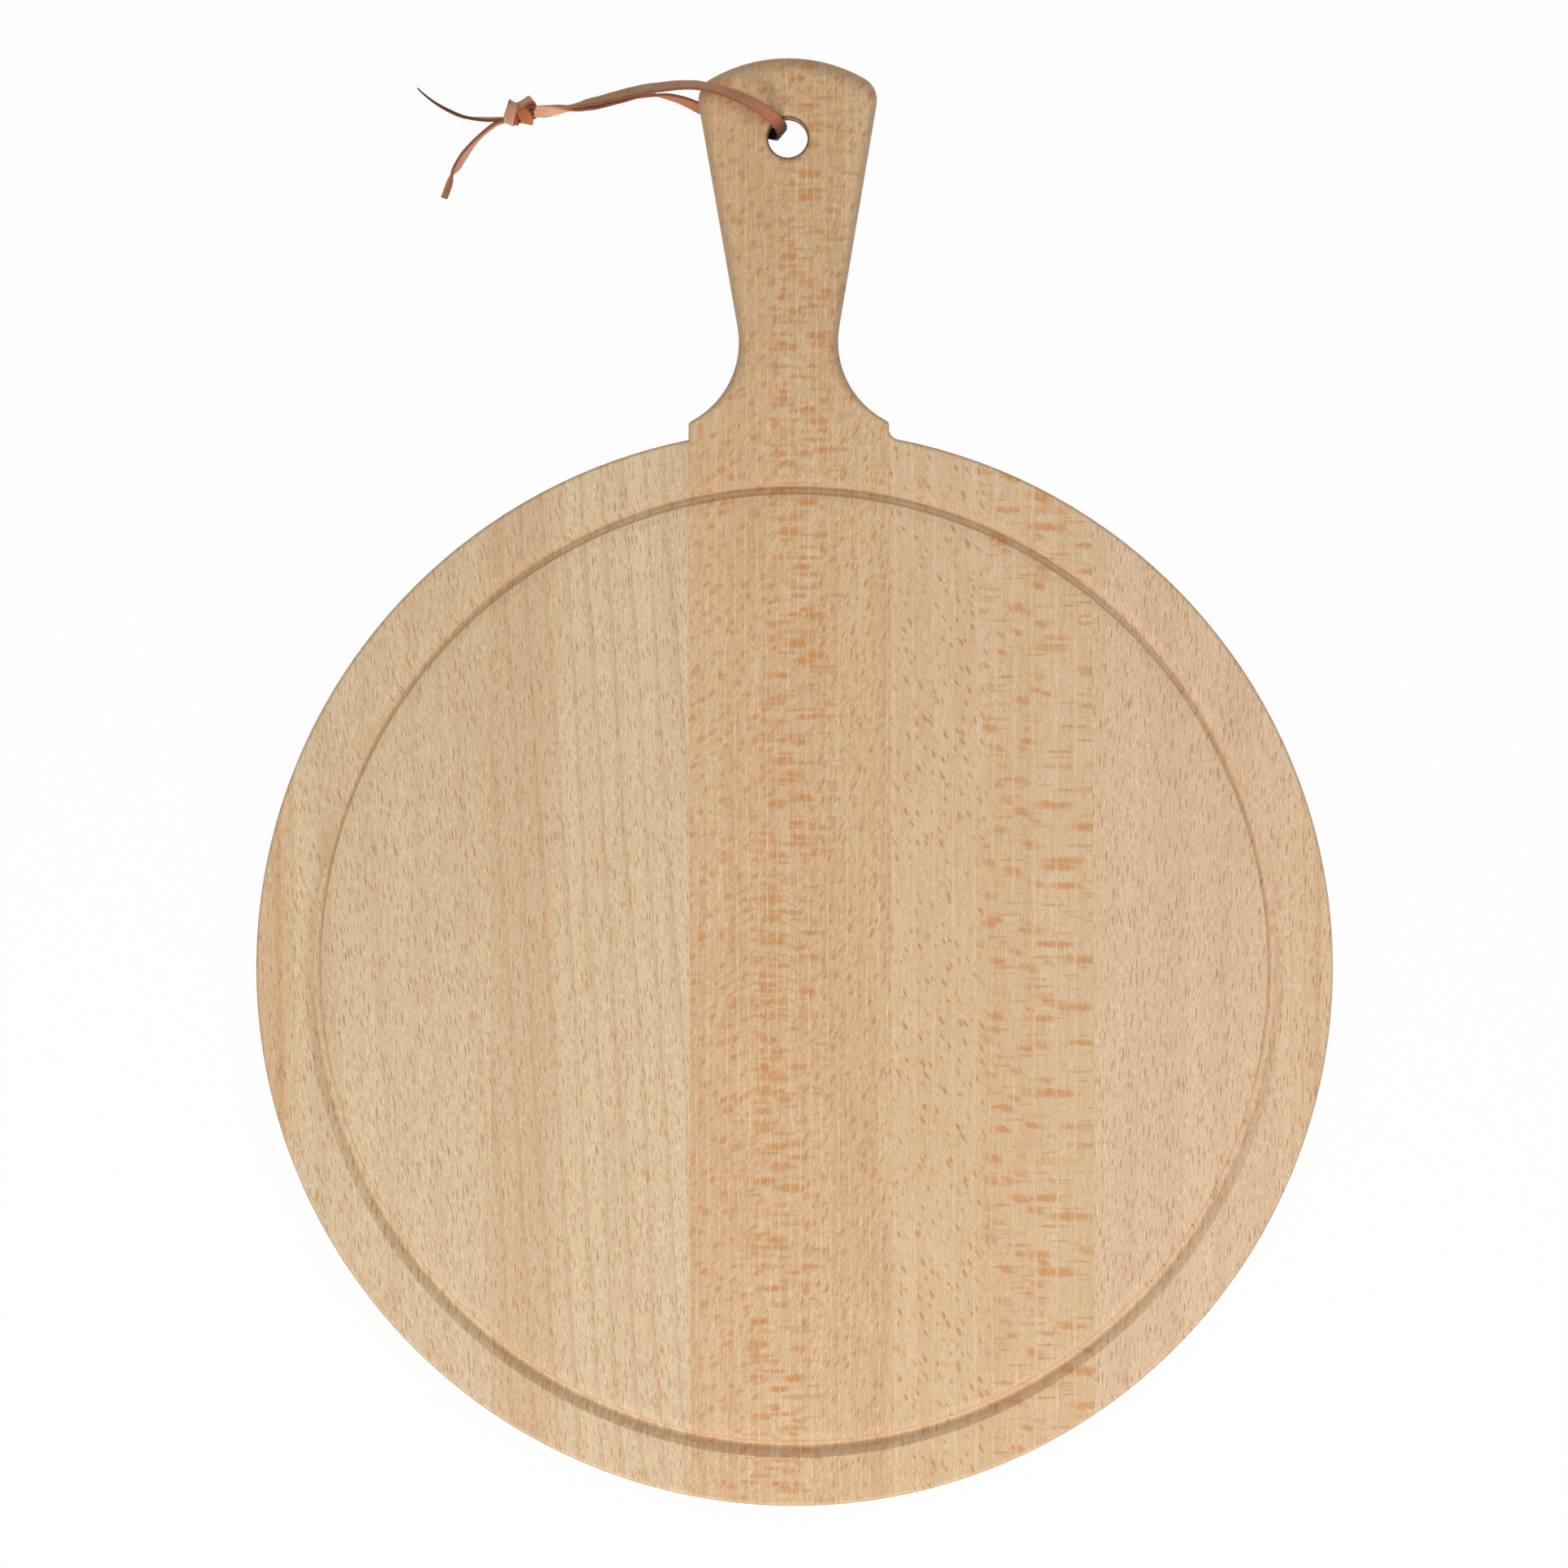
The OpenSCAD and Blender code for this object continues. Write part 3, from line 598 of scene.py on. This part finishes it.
beechFacts = {
    # streaks: soft warm bands along the grain
    # rings: growth rings, each fading in and ending sharply; tilt leans them through the board's thickness
    # lines: thin pale lines along the grain, which cut through the ray faces
    # marks: ray ends and ray faces; cell is how far apart, across and along, size how much of it they fill
    "stave_1": {
        "slot": "beech_straw",
        "pale": (222, 192, 155), "deep": (208, 171, 130), "streaks": (6, 0.9), "seed": 3.1,
        "rings": {"gap": 8.0, "tilt": 50, "lean": 0.01, "depth": 0.4, "tint": (200, 154, 108)},
        "marks": [
            {"cell": (1.0, 8.5), "size": (0.14, 0.32), "tint": (180, 132, 88), "depth": 0.8, "lean": 0.07},
        ],
        "strokes": (0.1, 0.06), "speckle": 0.52,
    },
    "stave_2": {
        "slot": "beech_rose",
        "pale": (222, 198, 163), "deep": (209, 178, 140), "streaks": (9, 0.7), "seed": 11.7,
        "rings": {"gap": 15.0, "tilt": 52, "lean": 0.05, "depth": 0.25, "tint": (208, 170, 132)},
        "marks": [
            {"cell": (0.95, 8.5), "size": (0.16, 0.32), "tint": (182, 130, 86), "depth": 0.85, "lean": 0.15},
            {"cell": (0.8, 6.0), "size": (0.14, 0.3), "tint": (196, 154, 114), "depth": 0.4, "lean": 0.15},
        ],
        "strokes": (0.15, 0.03), "speckle": 0.54,
    },
    "stave_3": {
        "slot": "beech_pale",
        "pale": (225, 200, 166), "deep": (211, 180, 142), "streaks": (8, 0.6), "seed": 5.3,
        "warm": (-100, -80, 8, (205, 167, 126), 0.42),
        "rings": {"gap": 6.7, "tilt": 46, "lean": 0.06, "depth": 0.45, "tint": (203, 163, 119)},
        "marks": [
            {"cell": (0.95, 8.0), "size": (0.16, 0.32), "tint": (184, 132, 86), "depth": 0.8, "lean": 0.1},
            {"cell": (0.7, 5.0), "size": (0.13, 0.3), "tint": (196, 155, 114), "depth": 0.4, "lean": 0.1},
        ],
        "strokes": (0.12, 0.03), "speckle": 0.54,
    },
    "stave_4": {
        "slot": "beech_quartered",
        "pale": (221, 190, 151), "deep": (209, 170, 126), "streaks": (8, 0.8), "seed": 8.9,
        "drift": 0.03,
        "hole": (-1.3, 262.2, 6.3),
        "lines": {"gap": 3.2, "depth": 0.5, "band": 0.45},
        "arches": {"centre": (-10, 3), "bow": 0.025, "gap": 3.4, "reach": (17, 26), "tint": (190, 136, 90),
                   "depth": 0.5},
        "marks": [
            {"cell": (4.4, 4.2), "size": (0.22, 0.46), "tint": (208, 148, 93), "depth": 0.8, "lean": -0.4,
             "span": (-34, -9, 5), "rough": 1.8, "corner": 2.2},
            {"cell": (11.0, 4.0), "size": (0.2, 0.48), "tint": (207, 146, 91), "depth": 0.95, "lean": 0,
             "span": (-9, 5, 4), "rough": 1.6, "corner": 3.0},
            {"cell": (15.0, 2.3), "size": (0.16, 0.5), "tint": (203, 154, 105), "depth": 0.85, "lean": 0,
             "span": (-11, 10, 5), "rough": 1.0, "corner": 2.0},
            {"cell": (2.1, 5.6), "size": (0.18, 0.42), "tint": (199, 147, 104), "depth": 0.85, "lean": -0.25,
             "span": (5, 31, 3), "rough": 0.9, "corner": 2.0},
        ],
        "strokes": (-0.35, 0.12), "speckle": 0.62,
    },
    "stave_5": {
        "slot": "beech_half_quartered",
        "pale": (226, 197, 160), "deep": (214, 179, 138), "streaks": (11, 0.8), "seed": 2.2,
        "lines": {"gap": 6.3, "depth": 0.4, "band": 0.4},
        "marks": [
            {"cell": (2.5, 6.2), "size": (0.15, 0.34), "tint": (198, 141, 96), "depth": 0.9, "lean": 0.42,
             "span": (28, 58, 6), "rough": 1.0, "corner": 2.0},
            {"cell": (11.0, 5.2), "size": (0.2, 0.4), "tint": (210, 152, 100), "depth": 0.9, "lean": 0.0,
             "slope": 0.2, "span": (62, 79, 5), "rough": 1.6, "corner": 2.4},
            {"cell": (30.0, 6.0), "size": (0.17, 0.36), "tint": (210, 153, 102), "depth": 0.9, "lean": 0.0,
             "slope": 0.03, "span": (76, 96, 5), "rough": 1.6, "corner": 3.0},
            {"cell": (18.0, 1.9), "size": (0.1, 0.38), "tint": (203, 152, 106), "depth": 0.7, "lean": 0,
             "span": (64, 96, 5), "rough": 1.0, "corner": 2.0},
        ],
        "strokes": (0.3, 0.1), "speckle": 0.46,
    },
    "stave_6": {
        "slot": "beech_rose",
        "pale": (228, 199, 166), "deep": (216, 182, 147), "streaks": (10, 0.7), "seed": 14.4,
        "rings": {"gap": 14.0, "tilt": -52, "lean": -0.03, "depth": 0.25, "tint": (210, 172, 134)},
        "marks": [
            {"cell": (0.95, 8.5), "size": (0.16, 0.32), "tint": (190, 136, 96), "depth": 0.9, "lean": -0.05},
            {"cell": (0.8, 6.0), "size": (0.14, 0.3), "tint": (198, 156, 118), "depth": 0.4, "lean": -0.05},
        ],
        "strokes": (-0.06, 0.03), "speckle": 0.54,
    },
    "stave_7": {
        "slot": "beech_straw",
        "pale": (231, 202, 165), "deep": (218, 183, 143), "streaks": (6, 0.9), "seed": 6.6,
        "rings": {"gap": 5.0, "tilt": -50, "lean": 0.0, "depth": 0.35, "tint": (204, 158, 112)},
        "marks": [
            {"cell": (1.0, 8.5), "size": (0.14, 0.33), "tint": (188, 136, 92), "depth": 0.9, "lean": -0.04},
        ],
        "strokes": (-0.06, 0.05), "speckle": 0.52,
    },
}

beechShared = {
    "speckleSize": (0.27, 1.6),
    "strokeSize": (0.5, 1.9),
    "fibre": 0.22,            # how much the finest grain changes the colour
    "warmth": 0.4,
    "fibreGap": 0.45,
    "wander": 1.6,            # how far the grain strays from straight
    "wanderRun": 120,
    "lineTint": (230, 203, 166),
    "endTint": (190, 150, 108),
    "edgeShadeSlope": (0.96, 0.5),  # where sloping edges get painted shade: how much the surface faces up or down, from flat to steep
    "edgeTint": (168, 138, 112),
    "edgeDepth": (0.1, 0.4, 0.3),  # painted shade at the disc's back, more toward its front, more on the handle
    # painted shade round the hole's rim
    "holeRimShade": (84, 50, 38),
    # the handle end is darker and warmer: painted shade of the light's falloff, partly the wood's own tone
    "handleShadeSpan": (150, 215),
    "handlePaintedShade": (-0.065, 0.15),
    "roughness": 0.62,
    "bump": 0.00005,
    "grooveSpan": (151, 154.4, 0.8),
    "grooveTearAndShadeTint": (172, 130, 94),
    "grooveTearAndShadeDepth": (0.18, 0.1, 0.2),  # of the torn streaks, and of the even painted shade at the front and back
}


def makeBeech(name, look, shared):
    bench = Bench(name)
    coordinate = bench.node("ShaderNodeTexCoord")
    split = bench.node("ShaderNodeSeparateXYZ", None, {"Vector": coordinate.outputs["Object"]})
    x = Wire(bench, split.outputs[0]) * 1000
    y = Wire(bench, split.outputs[1]) * 1000
    z = Wire(bench, split.outputs[2]) * 1000
    seed = look["seed"]

    wanderNoise = bench.noise(bench.vector(x / 60, y / shared["wanderRun"], seed), detail=1)
    grainX = x + (wanderNoise - 0.5) * (2 * shared["wander"])
    streakGap, streakDepth = look["streaks"]
    streak = bench.noise(bench.vector(grainX / streakGap, y / 240, z / 14 + seed), detail=4, rough=0.6)
    fibre = bench.noise(bench.vector(grainX / shared["fibreGap"], y / 9, z / 0.8 + seed), detail=2)
    lean, strokeDepth = look["strokes"]
    wide, tall = shared["speckleSize"]
    speckle = bench.noise(bench.vector((x + y * lean) / wide, y / tall, z / wide + seed), rough=0.6, curl=0.6)
    wide, tall = shared["strokeSize"]
    strokes = bench.noise(bench.vector((x + y * lean) / wide, y / tall, z + seed + 3), detail=2, curl=0.6)
    ragged = bench.noise(bench.vector(x / 1.5, y / 1.1, seed), detail=2)

    colour = bench.tint(streak.rise(0.22, 0.78) * streakDepth, rgb(*look["pale"]), rgb(*look["deep"]))
    if "warm" in look:
        start, end, fade, tint, depth = look["warm"]
        colour = bench.tint(x.within(start, end, fade) * depth, colour, rgb(*tint))
    if "rings" in look:
        # growth rings lean through the board, so the groove cuts them into scallops
        ring = look["rings"]
        ringPlace = (grainX + y * ring["lean"] + z * math.tan(math.radians(ring["tilt"]))) / ring["gap"]
        ringShare = (ringPlace + streak * 0.8 + seed).maths("FRACT")
        lateWood = ringShare.rise(0.62, 0.95) * ringShare.rise(1.0, 0.97)
        colour = bench.tint(lateWood * ring["depth"], colour, rgb(*ring["tint"]))
    if "arches" in look:
        arch = look["arches"]
        fromMiddle = x - arch["centre"][0]
        archPlace = (y + fromMiddle * fromMiddle * arch["bow"] + streak * 3) / arch["gap"]
        archShare = archPlace.maths("FRACT")
        archLine = archShare.rise(0.72, 0.9) * archShare.rise(1.0, 0.94)
        wideReach, tallReach = arch["reach"]
        inReach = abs(fromMiddle).rise(wideReach, wideReach * 0.5) * abs(y - arch["centre"][1]).rise(
            tallReach, tallReach * 0.7)
        colour = bench.tint(archLine * inReach * arch["depth"], colour, rgb(*arch["tint"]))

    # thin pale lines, which also cut through the ray faces
    paleLine = None
    if "lines" in look:
        lines = look["lines"]
        linePlace = (x + (wanderNoise - 0.5) * 3 + (ragged - 0.5) * 0.5) / lines["gap"] + streak * 1.2 + seed
        lineShare = linePlace.maths("FRACT")
        band = bench.noise(bench.vector(linePlace.maths("FLOOR") * 5.3, y / 45, seed), detail=1)
        colour = bench.tint(band.rise(0.35, 0.65) * lines["band"], colour, rgb(*look["deep"]))
        fade = bench.noise(bench.vector(linePlace.maths("FLOOR") * 3.1, y / 9, seed + 9), detail=2)
        paleLine = lineShare.rise(0.76, 0.88) * lineShare.rise(1.0, 0.9) * fade.rise(0.25, 0.6)

    # ray ends and ray faces
    pores = 0.0
    for number, mark in enumerate(look["marks"]):
        cellX, cellY = mark["cell"]
        across = grainX + z * 0.5 + y * mark["lean"]
        along = y + z * 0.4 + x * mark.get("slope", 0)
        if "span" in mark:
            across = across - y * look.get("drift", 0)
        jitter = (ragged - 0.5) * mark.get("rough", 0)
        at = bench.vector((across + jitter) / cellX, (along + jitter * 0.6) / cellY + seed + number * 7.3)
        spot = bench.cells(at, *mark["size"], corner=mark.get("corner", 2.0))
        if "span" in mark:
            start, end, fade = mark["span"]
            spot = spot * (x - y * look.get("drift", 0)).within(start, end, fade)
            if paleLine:
                spot = spot * (1 - paleLine * 0.7)
        else:
            pores = spot + pores
        colour = bench.tint(spot * mark["depth"], colour, rgb(*mark["tint"]))
    if paleLine:
        colour = bench.tint(paleLine * look["lines"]["depth"], colour, rgb(*shared["lineTint"]))

    # the cutter tears the grain a little, so streaks cross the groove; the groove's outer half also gets
    # painted shade, more at the front and back
    radius = (x * x + y * y).maths("SQRT")
    torn = bench.noise(bench.vector(x / 0.9, y / 9, z / 4 + seed), detail=2).rise(0.45, 0.68)
    inGroove = radius.within(*shared["grooveSpan"]) * z.rise(12, 13)
    tornDepth, frontShade, backShade = shared["grooveTearAndShadeDepth"]
    # torn streaks, plus painted shade in the groove's outer half, stronger at the front and back
    grooveTearAndShadeDepth = torn * tornDepth + y.rise(150, -120) * frontShade + y.rise(95, 150) * backShade
    colour = bench.tint(grooveTearAndShadeDepth * inGroove, colour, rgb(*shared["grooveTearAndShadeTint"]))

    # end grain is deeper; sloping edges get painted shade, and the handle end is darker by painted shade of
    # the light's falloff and partly by the wood's own tone
    facing = bench.node("ShaderNodeSeparateXYZ", None, {"Vector": coordinate.outputs["Normal"]})
    endGrain = abs(Wire(bench, facing.outputs[1])).rise(0.35, 1.0)
    colour = bench.tint(endGrain * 0.45, colour, rgb(*shared["endTint"]))
    # sloping edges get painted shade, stronger toward the front and on the handle
    slopeShade = abs(Wire(bench, facing.outputs[2])).rise(*shared["edgeShadeSlope"]) * radius.rise(156, 158)
    atBack, atFront, onHandle = shared["edgeDepth"]
    edgeDepth = y.rise(150, -150) * atFront + y.rise(165, 180) * onHandle + atBack
    colour = bench.tint(slopeShade * edgeDepth, colour, rgb(*shared["edgeTint"]))
    if "hole" in look:
        # painted shade: darker and warmer toward the handle's end
        handlePaintedShade, handleWarmth = shared["handlePaintedShade"]
        colour = bench.shade(colour, y.rise(*shared["handleShadeSpan"]) * handlePaintedShade, handleWarmth)
        holeX, holeY, holeRadius = look["hole"]
        fromHole = ((x - holeX) * (x - holeX) + (y - holeY) * (y - holeY)).maths("SQRT")
        # a thin dark line round the hole's rim: painted shade
        rimShade = fromHole.rise(holeRadius + 0.8, holeRadius + 0.1) * z.rise(15.5, 17)
        colour = bench.tint(rimShade * 0.85, colour, rgb(*shared["holeRimShade"]))

    # finest grain: a little lighter and darker along every fibre
    change = ((fibre - 0.5) * (2 * shared["fibre"]) + (speckle - 0.5) * (2 * look["speckle"])
              + (strokes - 0.5) * (2 * strokeDepth))
    colour = bench.shade(colour, change, shared["warmth"])

    roughness = shared["roughness"] + (fibre - 0.5) * 0.12
    height = fibre * 0.6 + speckle * 0.3 - pores * 0.3
    return bench.finish(colour, roughness, height, shared["bump"])


beech = {name: makeBeech(name, look, beechShared) for name, look in beechFacts.items()}
print("beech mixed")


# glue lines and leather

glueFacts = {"tint": (214, 180, 141), "deep": (196, 158, 118), "roughness": 0.6}


def makeGlue(facts):
    bench = Bench("glueLine")
    at = bench.node("ShaderNodeTexCoord").outputs["Object"]
    patch = bench.noise(bench.wire("ShaderNodeVectorMath", {"operation": "MULTIPLY"},
                                   {0: at, 1: (4000, 90, 400)}), detail=2)
    colour = bench.tint(patch.rise(0.3, 0.7), rgb(*facts["tint"]), rgb(*facts["deep"]))
    return bench.finish(colour, facts["roughness"] + patch * 0.1, patch, 0.00003)


leatherFacts = {
    "edgeShare": (0.42, 0.48),  # of the lace's width, where its face turns into the dark cut edge
    "edgeTint": (92, 38, 20),
    "edgeDepth": 0.75,
    "blotch": 0.16,
    "grainTint": (128, 74, 46),
    "grainDepth": 0.3,
    "roughness": 0.6,
    "bump": 0.00008,
}


def makeLeather(facts):
    bench = Bench("tanLeather")
    at = bench.node("ShaderNodeAttribute", {"attribute_name": "lacePlace"})
    face = bench.node("ShaderNodeAttribute", {"attribute_name": "laceTint"})
    split = bench.node("ShaderNodeSeparateXYZ", None, {"Vector": at.outputs["Vector"]})
    along = Wire(bench, split.outputs[0]) * 1000
    across = Wire(bench, split.outputs[1])
    rise = Wire(bench, split.outputs[2]) * 1000
    blotch = bench.noise(bench.vector(along / 4, across * 2, rise / 2), detail=3)
    grain = bench.noise(bench.vector(along / 0.4, across * 12, rise / 0.3), detail=3)
    colour = bench.shade(face.outputs["Color"], (0.5 - blotch) * (4 * facts["blotch"]), 0.2)
    edge = abs(across).rise(*facts["edgeShare"]) * Wire(bench, face.outputs["Alpha"])
    colour = bench.tint(edge * facts["edgeDepth"], colour, rgb(*facts["edgeTint"]))
    colour = bench.tint(grain.rise(0.5, 0.8) * facts["grainDepth"], colour, rgb(*facts["grainTint"]))
    return bench.finish(colour, facts["roughness"] + (grain - 0.5) * 0.2, grain * 0.7 + blotch * 0.3,
                        facts["bump"], sheen=0.05)


def dress(piece, material):
    piece.data.materials.clear()
    piece.data.materials.append(material)


glue = makeGlue(glueFacts)
leather = makeLeather(leatherFacts)
for number in range(1, 7):
    nodes[f"glue_line_{number}"].material_slots[0].material = glue
for piece in (laceLoop, upperTail, lowerTail, laceKnot):
    dress(piece, leather)


# each stave is a softened copy of its own solid

softFacts = {
    "mergeWithin": 0.000004,
    "sharpOver": 21,          # degrees; the groove's outer edge stays sharp
}


def softenStave(node, name, facts):
    makeActive(node)
    bpy.ops.object.duplicate()
    piece = bpy.context.object
    piece.name = name
    piece.parent = None
    for key in list(piece.keys()):
        del piece[key]
    bpy.ops.object.mode_set(mode="EDIT")
    bpy.ops.mesh.select_all(action="SELECT")
    bpy.ops.mesh.remove_doubles(threshold=facts["mergeWithin"])
    bpy.ops.mesh.normals_make_consistent(inside=False)
    bpy.ops.mesh.customdata_custom_splitnormals_clear()
    bpy.ops.object.mode_set(mode="OBJECT")
    bpy.ops.object.shade_smooth_by_angle(angle=math.radians(facts["sharpOver"]))
    bpy.ops.object.modifier_add(type="WEIGHTED_NORMAL")
    weighted = piece.modifiers[-1]
    weighted.weight = 90
    weighted.keep_sharp = True
    bpy.ops.object.modifier_apply(modifier=weighted.name)
    return piece


for name, look in beechFacts.items():
    stave = softenStave(nodes[name], name.replace("stave_", "softStave"), softFacts)
    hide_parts(name)
    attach(stave, "board")
    dress(stave, beech[name])
print("board dressed")


# table, white surroundings and soft studio light

stageFacts = {
    "tableSize": 6,
    "tableDrop": 0.0004,
    "tableTint": 0.94,
    "tableGlow": 0.965,       # share of plain white that the camera sees in place of the lit table
    "skyLevel": 0.32,
    "softbox": {"from": (-0.12, -1.0, 0.62), "distance": 1.75, "size": 0.5, "share": 0.34},
    "lamps": {
        # direction that the light comes from, share of the full level on the board's top, softness
        "topLamp": {"from": (0.0, 0.0, 1.0), "share": 0.18, "angle": 100},
        "fillLamp": {"from": (0.5, 0.9, 1.6), "share": 0.10, "angle": 30},
    },
}


def makeTable(facts):
    deselectAll()
    bpy.ops.mesh.primitive_plane_add(size=facts["tableSize"], location=(0, 0, 0))
    table = bpy.context.object
    table.name = "table"
    for vertex in table.data.vertices:
        vertex.co.z = -facts["tableDrop"]
    bench = Bench("tableWhite")
    ray = bench.node("ShaderNodeLightPath")
    lit = bench.node("ShaderNodeBsdfDiffuse", None, {"Color": (facts["tableTint"],) * 3 + (1,)})
    glow = bench.node("ShaderNodeEmission", None, {"Color": (1, 1, 1, 1), "Strength": 1.0})
    seen = (Wire(bench, ray.outputs["Is Camera Ray"])
            .maths("MAXIMUM", Wire(bench, ray.outputs["Is Glossy Ray"]))
            .maths("MAXIMUM", Wire(bench, ray.outputs["Is Transmission Ray"]))) * facts["tableGlow"]
    mixed = bench.node("ShaderNodeMixShader", None, {0: seen, 1: lit.outputs[0], 2: glow.outputs[0]})
    out = bench.node("ShaderNodeOutputMaterial")
    bench.tree.links.new(mixed.outputs[0], out.inputs["Surface"])
    dress(table, bench.material)


def makeSky(facts):
    world = bpy.data.worlds.new("studio")
    bpy.context.scene.world = world
    world.use_nodes = True
    tree = world.node_tree
    tree.nodes.clear()
    ray = tree.nodes.new("ShaderNodeLightPath")
    soft = tree.nodes.new("ShaderNodeBackground")
    soft.inputs["Strength"].default_value = facts["skyLevel"]
    white = tree.nodes.new("ShaderNodeBackground")
    white.inputs["Strength"].default_value = 1.0
    for background in (soft, white):
        background.inputs["Color"].default_value = (1, 1, 1, 1)
    seen = tree.nodes.new("ShaderNodeMath")
    seen.operation = "MAXIMUM"
    tree.links.new(ray.outputs["Is Camera Ray"], seen.inputs[0])
    tree.links.new(ray.outputs["Is Glossy Ray"], seen.inputs[1])
    through = tree.nodes.new("ShaderNodeMath")
    through.operation = "MAXIMUM"
    tree.links.new(seen.outputs[0], through.inputs[0])
    tree.links.new(ray.outputs["Is Transmission Ray"], through.inputs[1])
    mixed = tree.nodes.new("ShaderNodeMixShader")
    tree.links.new(through.outputs[0], mixed.inputs[0])
    tree.links.new(soft.outputs[0], mixed.inputs[1])
    tree.links.new(white.outputs[0], mixed.inputs[2])
    out = tree.nodes.new("ShaderNodeOutputWorld")
    tree.links.new(mixed.outputs[0], out.inputs["Surface"])


def aim(name, data, toward, distance):
    source = bpy.data.objects.new(name, data)
    source.location = toward * distance
    source.rotation_euler = toward.to_track_quat("Z", "Y").to_euler()
    bpy.context.scene.collection.objects.link(source)


def makeLamps(facts):
    for name, lamp in facts["lamps"].items():
        data = bpy.data.lights.new(name, "SUN")
        toward = Vector(lamp["from"]).normalized()
        data.energy = lamp["share"] * math.pi / toward.z
        data.angle = math.radians(lamp["angle"])
        aim(name, data, toward, 1)
    box = facts["softbox"]
    data = bpy.data.lights.new("softbox", "AREA")
    data.shape = "DISK"
    data.size = box["size"]
    toward = Vector(box["from"]).normalized()
    data.energy = box["share"] * math.pi ** 2 * box["distance"] ** 2 / toward.z
    aim("softbox", data, toward, box["distance"])


makeTable(stageFacts)
makeSky(stageFacts)
makeLamps(stageFacts)
bpy.context.scene.view_settings.view_transform = "Standard"
print("stage lit")
